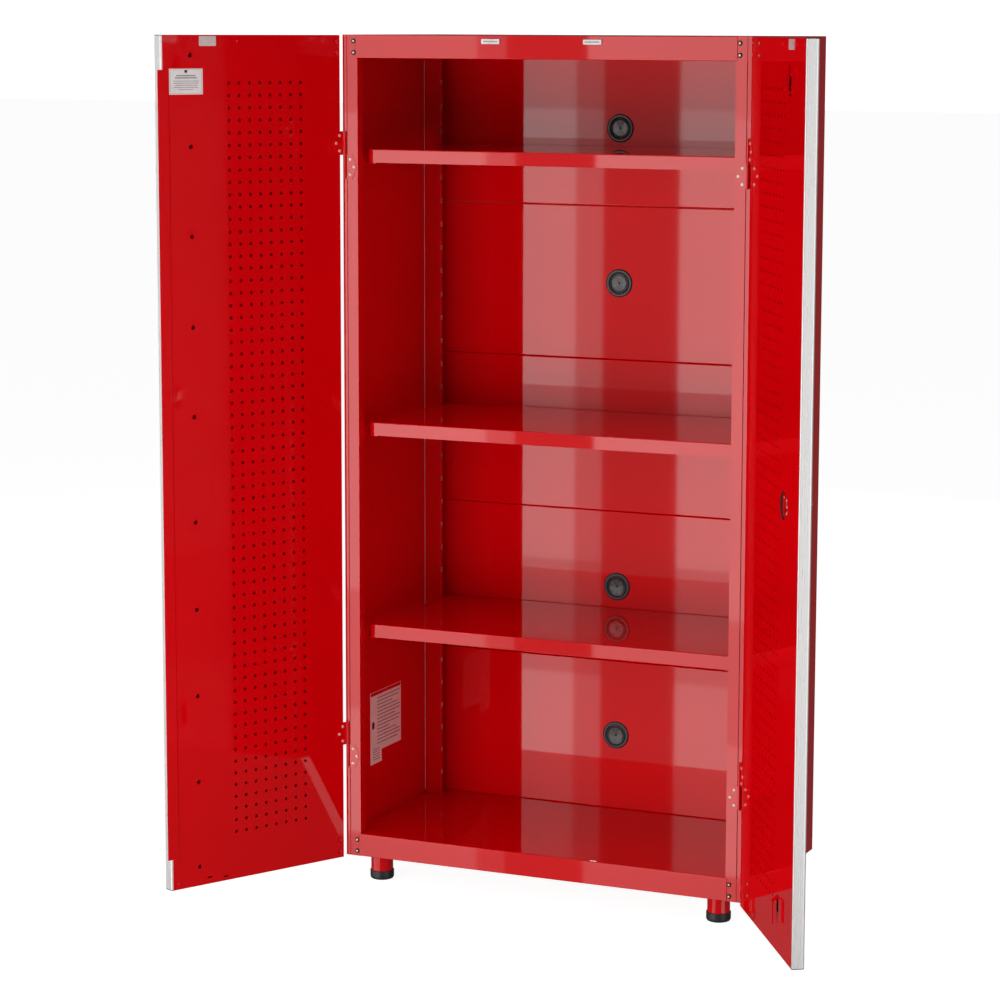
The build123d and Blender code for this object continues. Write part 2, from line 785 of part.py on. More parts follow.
def rod(tip, jog, drive, sign):
    """Flat locking rod: tip outside the panel, jog through it, drive end at the lock.

    sign is +1 for the upper rod and -1 for the lower one; drive is the height of the
    slot that takes the cam pin.
    """
    with BuildPart() as bar:
        with BuildSketch(Plane.YZ.offset(LOCK_X)):
            with BuildLine() as bar_line:
                FilletPolyline(
                    (ROD_OUTER_Y - ROD_THICKNESS / 2, tip),
                    (ROD_OUTER_Y - ROD_THICKNESS / 2, jog + sign * JOG_RISE),
                    (ROD_CAVITY_Y - ROD_THICKNESS / 2, jog),
                    (ROD_CAVITY_Y - ROD_THICKNESS / 2, LOCK_Z + sign * 22),
                    radius=2.0,
                )
                offset(amount=ROD_THICKNESS, side=Side.LEFT if sign > 0 else Side.RIGHT)
            make_face(bar_line.edges())
        extrude(amount=ROD_WIDTH / 2, both=True)
        with BuildSketch(Plane.XZ.offset(-ROD_CAVITY_Y - ROD_THICKNESS / 2)):
            with Locations((LOCK_X + sign * 9, LOCK_Z + sign * 27)):
                Rectangle(30, 10)
            with Locations((LOCK_X + sign * 16, (LOCK_Z + sign * 32 + drive - sign * 8) / 2)):
                Rectangle(16, abs(LOCK_Z + sign * 32 - drive + sign * 8))
            with Locations((LOCK_X + sign * 15.1, drive)):
                RectangleRounded(11.0, 6.8, 2.0, mode=Mode.SUBTRACT)
        extrude(amount=ROD_THICKNESS)
    return bar.part


with BuildPart() as leaf_upper_rod:
    add(rod(UPPER_TIP, JOG_UPPER, LOCK_Z - CRANK, 1))

with BuildPart() as leaf_lower_rod:
    add(rod(LOWER_TIP, JOG_LOWER, LOCK_Z + CRANK, -1))

# ==============================================================================
# Right door: leaf pieces mirrored to the other hand
# ==============================================================================
with BuildPart() as right_door_shell:
    with Locations(RIGHT_LEAF):
        add(mirror(locked_leaf_shell.part, about=Plane.XZ, mode=Mode.PRIVATE))

with BuildPart() as right_door_panel:
    with Locations(RIGHT_LEAF):
        add(mirror(right_leaf_panel.part, about=Plane.XZ, mode=Mode.PRIVATE))

with BuildPart() as right_door_trim:
    with Locations(RIGHT_LEAF):
        add(mirror(leaf_trim.part, about=Plane.XZ, mode=Mode.PRIVATE))

with BuildPart() as right_trim_caps:
    with Locations(RIGHT_LEAF):
        add(mirror(leaf_trim_caps.part, about=Plane.XZ, mode=Mode.PRIVATE))

with BuildPart() as right_door_hinge_leaves:
    with Locations(RIGHT_LEAF):
        add(mirror(leaf_hinge_leaves.part, about=Plane.XZ, mode=Mode.PRIVATE))

with BuildPart() as right_door_rivets:
    with Locations(RIGHT_LEAF):
        add(mirror(leaf_rivets.part, about=Plane.XZ, mode=Mode.PRIVATE))

with BuildPart() as right_strike_plate:
    with Locations(RIGHT_LEAF):
        add(mirror(leaf_strike_plate.part, about=Plane.XZ, mode=Mode.PRIVATE))

with BuildPart() as right_door_screws:
    with Locations(RIGHT_LEAF):
        add(mirror(leaf_screws.part, about=Plane.XZ, mode=Mode.PRIVATE))

with BuildPart() as lock_housing:
    with Locations(RIGHT_LEAF):
        add(mirror(leaf_lock_housing.part, about=Plane.XZ, mode=Mode.PRIVATE))

with BuildPart() as lock_nut:
    with Locations(RIGHT_LEAF):
        add(mirror(leaf_lock_nut.part, about=Plane.XZ, mode=Mode.PRIVATE))

with BuildPart() as lock_plug:
    with Locations(RIGHT_LEAF):
        add(mirror(leaf_lock_plug.part, about=Plane.XZ, mode=Mode.PRIVATE))

with BuildPart() as lock_cam:
    with Locations(RIGHT_LEAF):
        add(mirror(leaf_lock_cam.part, about=Plane.XZ, mode=Mode.PRIVATE))

with BuildPart() as lock_key:
    with Locations(RIGHT_LEAF):
        add(mirror(leaf_lock_key.part, about=Plane.XZ, mode=Mode.PRIVATE))

with BuildPart() as rod_guides:
    with Locations(RIGHT_LEAF):
        add(mirror(leaf_rod_guides.part, about=Plane.XZ, mode=Mode.PRIVATE))

with BuildPart() as upper_rod:
    with Locations(RIGHT_LEAF):
        add(mirror(leaf_upper_rod.part, about=Plane.XZ, mode=Mode.PRIVATE))

with BuildPart() as lower_rod:
    with Locations(RIGHT_LEAF):
        add(mirror(leaf_lower_rod.part, about=Plane.XZ, mode=Mode.PRIVATE))

# ==============================================================================
# Shelves and clips
# ==============================================================================
for index, shelf_top in enumerate(SHELF_TOPS):
    with BuildPart() as shelf:
        block(
            (-SHELF_HALF, SHELF_HALF),
            (SHELF_FRONT, SHELF_BACK),
            (shelf_top - SHELF_LIP, shelf_top),
        )
        fillet(shelf.edges().filter_by(Axis.Z), radius=2.6)
        fillet(shelf.faces().sort_by(Axis.Z)[-1].edges(), radius=2.4)
        offset(amount=-SHEET, openings=shelf.faces().sort_by(Axis.Z)[0])
        for y in (
            (SHELF_FRONT + SHEET / 2, SHELF_FRONT + SHELF_RETURN),
            (SHELF_BACK - SHELF_RETURN, SHELF_BACK - SHEET / 2),
        ):
            block(
                (-SHELF_HALF + 4, SHELF_HALF - 4),
                y,
                (shelf_top - SHELF_LIP, shelf_top - SHELF_LIP + SHEET),
            )
    save(shelf.part, f"shelf_{index + 1}")

CLIP = 1.5
with BuildPart() as shelf_clips:
    for shelf_top in SHELF_TOPS:
        rest_z = shelf_top - SHELF_LIP
        slot_z = nearest_slot(rest_z + 14)
        strap_z = (min(rest_z - CLIP, slot_z - 6), max(rest_z, slot_z + 6))
        for side in (-1, 1):
            front_x = sorted((side * (POST_INNER - CLIP), side * POST_INNER))
            ledge_x = sorted((side * (POST_INNER - CLIP), side * 398.0))
            hook_x = sorted((side * (POST_INNER - CLIP), side * (POST_INNER + 3)))
            block(front_x, (FRONT + 5, FRONT + 20), strap_z)
            block(front_x, (FRONT + 19, FRONT + 56), (rest_z - CLIP, rest_z + 10))
            block(ledge_x, (FRONT + 38, FRONT + 56), (rest_z - CLIP, rest_z))
            block(hook_x, (FRONT + 10.4, FRONT + 13.0), (slot_z - 3.6, slot_z + 3.6))
            rear_x = sorted((side * (REAR_POST_INNER - CLIP), side * REAR_POST_INNER))
            rear_ledge_x = sorted((side * (REAR_POST_INNER - CLIP), side * 398.0))
            rear_hook_x = sorted((side * (REAR_POST_INNER - CLIP), side * (REAR_POST_INNER + 3)))
            block(rear_x, (REAR_POST_Y + 1.6, REAR_POST_Y + 11), strap_z)
            block(
                rear_ledge_x,
                (REAR_POST_Y + 1.6, REAR_POST_Y + 30),
                (rest_z - CLIP, rest_z),
            )
            block(
                rear_hook_x,
                (REAR_POST_Y + 3.4, REAR_POST_Y + 6.0),
                (slot_z - 3.6, slot_z + 3.6),
            )

# ==============================================================================
# Legs and levelling feet
# ==============================================================================
LEGS = {
    "front_left": (-LEG_X, LEG_YS[0]),
    "front_right": (LEG_X, LEG_YS[0]),
    "rear_left": (-LEG_X, LEG_YS[1]),
    "rear_right": (LEG_X, LEG_YS[1]),
}

with BuildPart() as leg_tubes:
    with BuildSketch(Plane.XY.offset(TUBE_BOTTOM)):
        with Locations(*LEGS.values()):
            Circle(TUBE_R)
            Circle(TUBE_R - 1.5, mode=Mode.SUBTRACT)
    extrude(amount=FLOOR_TOP - SHEET - TUBE_BOTTOM)

with BuildPart() as leg_plugs:
    with BuildSketch(Plane.XY.offset(24)):
        with Locations(*LEGS.values()):
            Circle(TUBE_R - 1.5)
            Circle(STUD_R + STUD_CLEARANCE, mode=Mode.SUBTRACT)
    extrude(amount=14)

for name, place in LEGS.items():
    with BuildPart() as levelling_foot:
        with BuildSketch(Plane.XY):
            with BuildLine():
                Polyline(
                    (0, 0),
                    (FOOT_R - 5.5, 0),
                    (FOOT_R - 2.2, 1.2),
                    (FOOT_R - 0.4, 4.0),
                    (FOOT_R, 7.0),
                    (FOOT_R, FOOT_HEIGHT - 0.8),
                    (FOOT_R - 0.6, FOOT_HEIGHT),
                    (TUBE_R + 0.4, FOOT_HEIGHT),
                    (TUBE_R + 0.4, TUBE_BOTTOM - 0.4),
                    (STUD_R, TUBE_BOTTOM - 0.4),
                    (STUD_R, 70.0),
                    (0, 70.0),
                    close=True,
                )
            make_face()
        revolve(axis=Axis.Y)
    with BuildPart() as placed_foot:
        with Locations(Location((place[0], place[1], 0), (90, 0, 0))):
            add(levelling_foot.part)
    save(placed_foot.part, f"levelling_foot_{name}")

PIECES = {
    "left_side_panel": left_side_panel,
    "right_side_panel": right_side_panel,
    "front_post_left": front_post_left,
    "front_post_right": front_post_right,
    "rear_post_left": rear_post_left,
    "rear_post_right": rear_post_right,
    "top_panel": top_panel,
    "floor_pan": floor_pan,
    "cable_grommets": cable_grommets,
    "grommet_caps": grommet_caps,
    "corner_screws": corner_screws,
    "magnetic_catches": magnetic_catches,
    "catch_magnets": catch_magnets,
    "interior_label": interior_label,
    "hinge_frame_leaves": hinge_frame_leaves,
    "hinge_pins": hinge_pins,
    "frame_leaf_rivets": frame_leaf_rivets,
    "leg_tubes": leg_tubes,
    "leg_plugs": leg_plugs,
    "shelf_clips": shelf_clips,
    "left_door_shell": left_door_shell,
    "left_door_panel": left_door_panel,
    "left_door_trim": left_door_trim,
    "left_trim_caps": left_trim_caps,
    "left_door_hinge_leaves": left_door_hinge_leaves,
    "left_door_rivets": left_door_rivets,
    "left_strike_plate": left_strike_plate,
    "left_door_screws": left_door_screws,
    "astragal": astragal,
    "left_door_label": left_door_label,
    "right_door_shell": right_door_shell,
    "right_door_panel": right_door_panel,
    "right_door_trim": right_door_trim,
    "right_trim_caps": right_trim_caps,
    "right_door_hinge_leaves": right_door_hinge_leaves,
    "right_door_rivets": right_door_rivets,
    "right_strike_plate": right_strike_plate,
    "right_door_screws": right_door_screws,
    "lock_housing": lock_housing,
    "lock_nut": lock_nut,
    "rod_guides": rod_guides,
    "lock_plug": lock_plug,
    "lock_cam": lock_cam,
    "lock_key": lock_key,
    "upper_rod": upper_rod,
    "lower_rod": lower_rod,
}
for label, builder in PIECES.items():
    save(builder.part, label)
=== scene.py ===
"""Looks of the two-door steel storage cabinet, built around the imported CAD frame."""
import json
import math

import bmesh
import bpy
from mathutils import Matrix, Vector


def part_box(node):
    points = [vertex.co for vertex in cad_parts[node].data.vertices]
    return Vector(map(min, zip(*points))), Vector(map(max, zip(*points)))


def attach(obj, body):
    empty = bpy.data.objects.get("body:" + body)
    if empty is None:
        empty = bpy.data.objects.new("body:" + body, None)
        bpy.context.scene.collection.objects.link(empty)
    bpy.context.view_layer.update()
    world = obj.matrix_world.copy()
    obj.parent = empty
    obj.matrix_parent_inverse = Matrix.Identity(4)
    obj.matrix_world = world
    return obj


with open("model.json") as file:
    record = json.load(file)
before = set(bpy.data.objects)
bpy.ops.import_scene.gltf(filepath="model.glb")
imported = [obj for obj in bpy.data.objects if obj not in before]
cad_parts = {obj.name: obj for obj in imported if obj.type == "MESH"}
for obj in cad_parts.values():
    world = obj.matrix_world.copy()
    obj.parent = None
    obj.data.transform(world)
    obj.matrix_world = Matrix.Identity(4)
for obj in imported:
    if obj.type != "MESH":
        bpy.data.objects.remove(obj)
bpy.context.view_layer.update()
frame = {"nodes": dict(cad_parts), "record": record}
NODES = frame["nodes"]


# ---------------------------------------------------------------- camera
def make_camera():
    """Perspective camera with the position, turn and lens fitted to the photograph."""
    yaw, pitch, roll = 0.412935, -0.144988, 0.0036044
    forward = Vector((
        -math.sin(yaw) * math.cos(pitch),
        math.cos(yaw) * math.cos(pitch),
        math.sin(pitch),
    ))
    level = Vector((math.cos(yaw), math.sin(yaw), 0.0))
    upright = level.cross(forward)
    right = level * math.cos(roll) + upright * math.sin(roll)
    up = upright * math.cos(roll) - level * math.sin(roll)
    data = bpy.data.cameras.new("photo_camera")
    data.sensor_width = 36.0
    data.lens = 110.25
    data.shift_x = -0.031873
    data.shift_y = -0.026825
    data.clip_end = 100.0
    camera = bpy.data.objects.new("photo_camera", data)
    bpy.context.collection.objects.link(camera)
    axes = Matrix((right, up, -forward)).transposed().to_4x4()
    camera.matrix_world = Matrix.Translation((2.51986, -6.02459, 1.84793)) @ axes
    bpy.context.scene.camera = camera


make_camera()


# ---------------------------------------------------------------- node helpers
def new_material(name):
    """A fresh node material with its tree and its Principled shader."""
    material = bpy.data.materials.new(name)
    material.use_nodes = True
    tree = material.node_tree
    shader = tree.nodes["Principled BSDF"]
    return material, tree, shader


def add(tree, kind, inputs=None, **settings):
    """Add a node, with its settings and the default values of its inputs."""
    node = tree.nodes.new(kind)
    for key, value in settings.items():
        setattr(node, key, value)
    for key, value in (inputs or {}).items():
        node.inputs[key].default_value = value
    return node


def noise(tree, scale, detail=3.0, stretch=(1.0, 1.0, 1.0)):
    """Noise in object space; stretch scales it along each axis."""
    place = add(tree, "ShaderNodeTexCoord")
    mapping = add(tree, "ShaderNodeMapping", {"Scale": stretch})
    tree.links.new(place.outputs["Object"], mapping.inputs["Vector"])
    texture = add(tree, "ShaderNodeTexNoise", {"Scale": scale, "Detail": detail})
    tree.links.new(mapping.outputs["Vector"], texture.inputs["Vector"])
    return texture.outputs["Fac"]


def spread(tree, source, low, high):
    """Map the middle of a noise to the range low to high."""
    ramp = add(tree, "ShaderNodeMapRange", {
        "From Min": 0.3, "From Max": 0.7, "To Min": low, "To Max": high,
    })
    tree.links.new(source, ramp.inputs["Value"])
    return ramp.outputs["Result"]


def mix_colour(tree, factor, first, second):
    """Blend two colours by a factor."""
    mix = add(tree, "ShaderNodeMix", data_type="RGBA")
    mix.inputs[6].default_value = (*first, 1.0)
    mix.inputs[7].default_value = (*second, 1.0)
    tree.links.new(factor, mix.inputs[0])
    return mix.outputs[2]


def bump(tree, shader, height, strength, distance):
    """Connect a bump map to the shader."""
    node = add(tree, "ShaderNodeBump", {"Strength": strength, "Distance": distance})
    tree.links.new(height, node.inputs["Height"])
    tree.links.new(node.outputs["Normal"], shader.inputs["Normal"])


# ---------------------------------------------------------------- materials
def red_paint():
    """Gloss red powder coat under a clear coat."""
    material, tree, shader = new_material("red_powder_coat")
    tone = spread(tree, noise(tree, 2.2), 0.0, 1.0)
    colour = mix_colour(tree, tone, (0.70, 0.0004, 0.0030), (0.76, 0.0007, 0.0042))
    tree.links.new(colour, shader.inputs["Base Color"])
    rough = spread(tree, noise(tree, 9.0, 5.0), 0.05, 0.085)
    tree.links.new(rough, shader.inputs["Roughness"])
    shader.inputs["Specular IOR Level"].default_value = 0.0
    shader.inputs["Coat Weight"].default_value = 1.0
    shader.inputs["Coat Roughness"].default_value = 0.03
    shader.inputs["Coat IOR"].default_value = 1.5
    bump(tree, shader, noise(tree, 420.0, 2.0), 0.05, 0.0003)
    return material


def trim_aluminium():
    """Pale aluminium, brushed along the height."""
    material, tree, shader = new_material("brushed_aluminium")
    shader.inputs["Metallic"].default_value = 0.55
    grain = noise(tree, 900.0, 4.0, (1.0, 1.0, 0.012))
    colour = mix_colour(tree, spread(tree, grain, 0.0, 1.0), (0.92, 0.90, 0.89), (0.96, 0.94, 0.93))
    tree.links.new(colour, shader.inputs["Base Color"])
    tree.links.new(spread(tree, grain, 0.24, 0.36), shader.inputs["Roughness"])
    shader.inputs["Anisotropic"].default_value = 0.4
    bump(tree, shader, grain, 0.05, 0.0002)
    return material


def plastic(name, base, rough, grain_scale=900.0):
    """Moulded plastic or printed film with a fine grain."""
    material, tree, shader = new_material(name)
    lighter = tuple(min(1.0, channel * 1.35 + 0.004) for channel in base)
    tone = spread(tree, noise(tree, 35.0), 0.0, 1.0)
    tree.links.new(mix_colour(tree, tone, base, lighter), shader.inputs["Base Color"])
    roughness = spread(tree, noise(tree, 60.0), rough - 0.06, rough + 0.08)
    tree.links.new(roughness, shader.inputs["Roughness"])
    bump(tree, shader, noise(tree, grain_scale, 4.0), 0.15, 0.0002)
    return material


def steel(name, base, rough, metallic=1.0):
    """Plated or painted metal with a fine mottle."""
    material, tree, shader = new_material(name)
    shader.inputs["Metallic"].default_value = metallic
    tone = spread(tree, noise(tree, 160.0, 4.0), 0.0, 1.0)
    darker = tuple(channel * 0.82 for channel in base)
    tree.links.new(mix_colour(tree, tone, darker, base), shader.inputs["Base Color"])
    roughness = spread(tree, noise(tree, 240.0), rough - 0.07, rough + 0.08)
    tree.links.new(roughness, shader.inputs["Roughness"])
    bump(tree, shader, noise(tree, 1400.0, 3.0), 0.08, 0.0002)
    return material


MATERIALS = {
    "red_paint": red_paint(),
    "trim_aluminium": trim_aluminium(),
    "dark_plastic": plastic("dark_moulded_plastic", (0.018, 0.018, 0.020), 0.34),
    "black_screw": steel("black_oxide", (0.045, 0.038, 0.034), 0.26),
    "white_plastic": plastic("white_moulded_plastic", (0.80, 0.78, 0.75), 0.32),
    "magnet": steel("magnet_grey", (0.34, 0.34, 0.33), 0.42),
    "sticker": plastic("sticker_film", (0.90, 0.89, 0.87), 0.38),
    "zinc_steel": steel("zinc_plate", (0.74, 0.73, 0.71), 0.42, 0.55),
    "strike_steel": steel("satin_strike_plate", (0.84, 0.83, 0.81), 0.34, 0.5),
    "brass_screw": steel("brassed_screw", (0.62, 0.40, 0.26), 0.22),
    # The rivets are all zinc; pink on the door leaves and cream on the frame leaf are painted
    # reflections, of the red paint round them and of the lit front
    "rivet_painted_red_reflection": steel("door_rivet", (0.98, 0.52, 0.47), 0.3, 0.1),
    "rivet_painted_bright_reflection": steel("frame_rivet", (0.95, 0.80, 0.68), 0.3, 0.3),
    # Pale pink metal that stands in for the highlight on the bend of each rear post
    "painted_highlight_edge": steel("painted_highlight_edge", (0.92, 0.50, 0.46), 0.36, 0.3),
    "cap_rubber": plastic("pleated_cap", (0.035, 0.034, 0.036), 0.22),
    "print_grey": plastic("printed_grey", (0.30, 0.30, 0.30), 0.5),
    # Black for print on the labels, also used as painted shade in the lock pocket and round the
    # corner screws
    "print_and_shade_black": plastic("printed_and_shade_black", (0.02, 0.02, 0.02), 0.5),
    "lock_chrome": steel("lock_chrome", (0.80, 0.80, 0.80), 0.12),
}
# Nodes that look different from the rest of their slot
INSTEAD = {
    "shelf_clips": "red_paint",
    "left_door_screws": "red_paint",
    "right_door_screws": "red_paint",
    # Rivet colours below are painted reflections on one zinc rivet
    "left_door_rivets": "rivet_painted_red_reflection",
    "right_door_rivets": "rivet_painted_red_reflection",
    "frame_leaf_rivets": "rivet_painted_bright_reflection",
    "left_strike_plate": "strike_steel",
    "right_strike_plate": "strike_steel",
}
SLOTS = {row["node"]: row["material_slot"] for row in frame["record"]["subparts"]}
CAD_SHARP = math.radians(28)
for node_name, node_object in NODES.items():
    node_object.data.materials.clear()
    slot = INSTEAD.get(node_name, SLOTS[node_name])
    node_object.data.materials.append(MATERIALS[slot])
    for polygon in node_object.data.polygons:
        polygon.use_smooth = True
    node_object.data.set_sharp_from_angle(angle=CAD_SHARP)


# ---------------------------------------------------------------- studio
def emission_plane(name, centre, size, aim, brightness, glossy=True):
    """Rectangular area light; glossy says whether reflections show it.

    Energy goes with the area, so lights of one brightness look alike at any size.
    """
    data = bpy.data.lights.new(name, "AREA")
    data.shape = "RECTANGLE"
    data.size = size[0]
    data.size_y = size[1]
    data.energy = brightness * size[0] * size[1] * math.pi
    light = bpy.data.objects.new(name, data)
    bpy.context.collection.objects.link(light)
    direction = (Vector(aim) - Vector(centre)).normalized()
    turn = direction.to_track_quat("-Z", "Y").to_matrix().to_4x4()
    light.matrix_world = Matrix.Translation(centre) @ turn
    light.visible_glossy = glossy
    light.visible_camera = False


WHITE = (1.0, 1.0, 1.0, 1.0)


def white_surround():
    """World that is white to the camera and nearly dark to every other ray."""
    world = bpy.data.worlds.new("studio")
    bpy.context.scene.world = world
    world.use_nodes = True
    tree = world.node_tree
    tree.nodes.clear()
    output = add(tree, "ShaderNodeOutputWorld")
    seen = add(tree, "ShaderNodeBackground", {"Color": WHITE, "Strength": 1.15})
    fill = add(tree, "ShaderNodeBackground", {"Color": WHITE, "Strength": 0.10})
    path = add(tree, "ShaderNodeLightPath")
    mix = add(tree, "ShaderNodeMixShader")
    tree.links.new(path.outputs["Is Camera Ray"], mix.inputs[0])
    tree.links.new(fill.outputs[0], mix.inputs[1])
    tree.links.new(seen.outputs[0], mix.inputs[2])
    tree.links.new(mix.outputs[0], output.inputs["Surface"])


def pale_floor():
    """Pale floor, left out of reflections, that blocks no light from below."""
    span = 60.0
    corners = [(-span, -span, 0), (span, -span, 0), (span, span, 0), (-span, span, 0)]
    mesh = bpy.data.meshes.new("floor")
    mesh.from_pydata(corners, [], [(0, 1, 2, 3)])
    floor = bpy.data.objects.new("floor", mesh)
    bpy.context.collection.objects.link(floor)
    material = bpy.data.materials.new("pale_floor")
    material.use_nodes = True
    tree = material.node_tree
    tree.nodes.clear()
    surface = add(tree, "ShaderNodeOutputMaterial")
    lit = add(tree, "ShaderNodeBsdfDiffuse", {"Color": (0.42, 0.42, 0.42, 1.0)})
    glow = add(tree, "ShaderNodeEmission", {"Strength": 0.93})
    both = add(tree, "ShaderNodeAddShader")
    path = add(tree, "ShaderNodeLightPath")
    mix = add(tree, "ShaderNodeMixShader")
    tree.links.new(lit.outputs[0], both.inputs[0])
    tree.links.new(glow.outputs[0], both.inputs[1])
    tree.links.new(path.outputs["Is Camera Ray"], mix.inputs[0])
    tree.links.new(lit.outputs[0], mix.inputs[1])
    tree.links.new(both.outputs[0], mix.inputs[2])
    tree.links.new(mix.outputs[0], surface.inputs["Surface"])
    mesh.materials.append(material)
    floor.visible_glossy = False
    floor.visible_shadow = False


# Height range of each tier of soft boxes, with the brightness of its left and centre box
TIERS = (
    (-2.0, -1.0, 1.6, 1.4),
    (-1.0, -0.55, 3.3, 3.0),
    (-0.55, -0.12, 2.2, 2.1),
    (-0.12, 1.55, 3.3, 3.3),
    (1.55, 2.6, 2.2, 2.5),
)
SOFTBOX_Y = -3.93


def lights():
    """Tiers of soft boxes in front, carried on below the floor, and lights all round."""
    for tier, (low, high, left, centre) in enumerate(TIERS):
        mid, tall = (low + high) / 2, high - low
        for name, x, wide, brightness in (
            (f"softbox_left_{tier}", -2.62, 1.55, left),
            (f"softbox_left_edge_{tier}", -1.79, 0.11, left * 0.5),
            (f"softbox_gap_{tier}", -1.585, 0.29, 0.3),
            (f"softbox_centre_{tier}", -0.98, 0.94, centre),
        ):
            emission_plane(name, (x, SOFTBOX_Y, mid), (wide, tall), (x, 0, mid), brightness)
    emission_plane("side_left", (-4.3, -2.6, 0.7), (2.6, 4.0), (0, 0, 0.7), 1.5)
    emission_plane("softbox_right", (4.6, -2.1, 0.7), (3.2, 4.2), (0, -0.2, 0.7), 1.5)
    emission_plane("overhead", (0.3, -1.9, 4.6), (4.5, 3.2), (0.1, -0.4, 0), 0.7)
    emission_plane("rear_fill", (0.4, 5.0, 2.2), (5.0, 3.5), (0, 0, 0.8), 0.35, False)
    emission_plane("front_fill", (0, -3.2, 0.25), (2.4, 1.4), (0, 0, 0.7), 3.0, False)


white_surround()
pale_floor()
lights()
view = bpy.context.scene.view_settings
view.view_transform = "Standard"
view.look = "None"


# ---------------------------------------------------------------- detail pieces
SIDES = ((-1, "left"), (1, "right"))
# Hinge pin axis, and how far each door stands open at rest, in degrees
PIN_X, PIN_Y = 0.451, -0.235
OPEN_LEFT, OPEN_RIGHT = 117.74, 122.86
LEAF_TURN = {-1: math.radians(-OPEN_LEFT), 1: math.radians(180 + OPEN_RIGHT)}
# In leaf coordinates: the inner face, and (along, up) of the features on it
LEAF_INNER = -0.0029
CLEARANCE_ALONG = 0.0185
LABEL_CENTRE = (0.3894, 1.734)
KEYHOLE_ALONG = 0.3794
KEYHOLE_HEIGHTS = (1.787, 1.602, 1.419, 1.233, 1.048, 0.828, 0.644, 0.461, 0.277, 0.094)
LOCK_CENTRE = (0.328, 0.938)
# Corner screws of the carcass; the door linings have clearance holes at the same heights
CORNER_SCREW_X = 0.4302
CORNER_SCREW_HEIGHTS = (1.8155, 1.7917, 0.0923, 0.0672)
# Shelf slots in the rear posts
SHELF_SLOT_X, SHELF_SLOT_Y = 0.4155, -0.2315 + 0.394 + 0.0047
SHELF_SLOT_TOP, SHELF_SLOT_PITCH, SHELF_SLOT_COUNT = 1.7225, 0.0522, 31
GROMMET_HEIGHTS = (0.2749, 0.6132, 0.9515, 1.2898, 1.6281)
DETAIL_SHARP = math.radians(35)


def leaf_matrix(side):
    """Leaf coordinates (along the leaf, inward, up) to the frame; side is -1 left, +1 right."""
    turn = LEAF_TURN[side]
    along = Vector((math.cos(turn), math.sin(turn), 0))
    inward = Vector((side * math.sin(turn), -side * math.cos(turn), 0))
    axes = Matrix((along, inward, Vector((0, 0, 1)))).transposed().to_4x4()
    return Matrix.Translation((side * PIN_X, PIN_Y, 0)) @ axes


def detail(name, mesh_builder, material, body, matrix):
    """Build a mesh, place it by matrix and let it ride on a body."""
    work = bmesh.new()
    mesh_builder(work)
    bmesh.ops.transform(work, matrix=matrix, verts=work.verts)
    bmesh.ops.recalc_face_normals(work, faces=work.faces)
    mesh = bpy.data.meshes.new(name)
    work.to_mesh(mesh)
    work.free()
    mesh.materials.append(MATERIALS[material])
    for polygon in mesh.polygons:
        polygon.use_smooth = True
    mesh.set_sharp_from_angle(angle=DETAIL_SHARP)
    piece = bpy.data.objects.new(name, mesh)
    bpy.context.collection.objects.link(piece)
    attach(piece, body)


def bridge(work, first, second):
    """Close the band between two rings of vertices."""
    count = len(first)
    for index in range(count):
        other = (index + 1) % count
        work.faces.new((first[index], first[other], second[other], second[index]))


def printed_bars(rows, thickness=0.00005):
    """Flat rounded bars (x, z, width, height) on the plane y = 0, printed side towards +y."""
    def build(work):
        for x, z, width, height in rows:
            radius = min(width, height) * 0.35
            ring = []
            for cx, cz, start in (
                (x + width / 2 - radius, z + height / 2 - radius, 0),
                (x - width / 2 + radius, z + height / 2 - radius, 90),
                (x - width / 2 + radius, z - height / 2 + radius, 180),
                (x + width / 2 - radius, z - height / 2 + radius, 270),
            ):
                for step in range(4):
                    angle = math.radians(start + 30 * step)
                    ring.append((cx + radius * math.cos(angle), cz + radius * math.sin(angle)))
            low = [work.verts.new((px, 0.0, pz)) for px, pz in ring]
            high = [work.verts.new((px, thickness, pz)) for px, pz in ring]
            work.faces.new(low)
            work.faces.new(high)
            bridge(work, low, high)
    return build


def ring_profile(places, profile, segments=24):
    """Closed rings around +y at each (x, z), from (radius, y) points."""
    def build(work):
        for x, z in places:
            loops = []
            for index in range(segments):
                angle = 2 * math.pi * index / segments
                loops.append([
                    work.verts.new((x + radius * math.cos(angle), y, z + radius * math.sin(angle)))
                    for radius, y in profile
                ])
            for index in range(segments):
                bridge(work, loops[index], loops[(index + 1) % segments])
    return build


def dished_cups(places, radius, depth, wall=0.0008, segments=28, steps=7):
    """Round pressed dimples that open towards +y, with their rims on y = 0."""
    def build(work):
        for x, z in places:
            skins = []
            for offset in (0.0, wall):
                rings = []
                for step in range(steps):
                    share = 1 - step / steps
                    reach = (radius + offset * 0.5) * share
                    level = -depth * (1 - share ** 2) - offset
                    rings.append([
                        work.verts.new((
                            x + reach * math.cos(2 * math.pi * k / segments),
                            level,
                            z + reach * math.sin(2 * math.pi * k / segments),
                        ))
                        for k in range(segments)
                    ])
                pole = work.verts.new((x, -depth - offset, z))
                for outer, inner in zip(rings, rings[1:]):
                    bridge(work, outer, inner)
                for k in range(segments):
                    work.faces.new((rings[-1][k], rings[-1][(k + 1) % segments], pole))
                skins.append(rings[0])
            bridge(work, skins[0], skins[1])
    return build


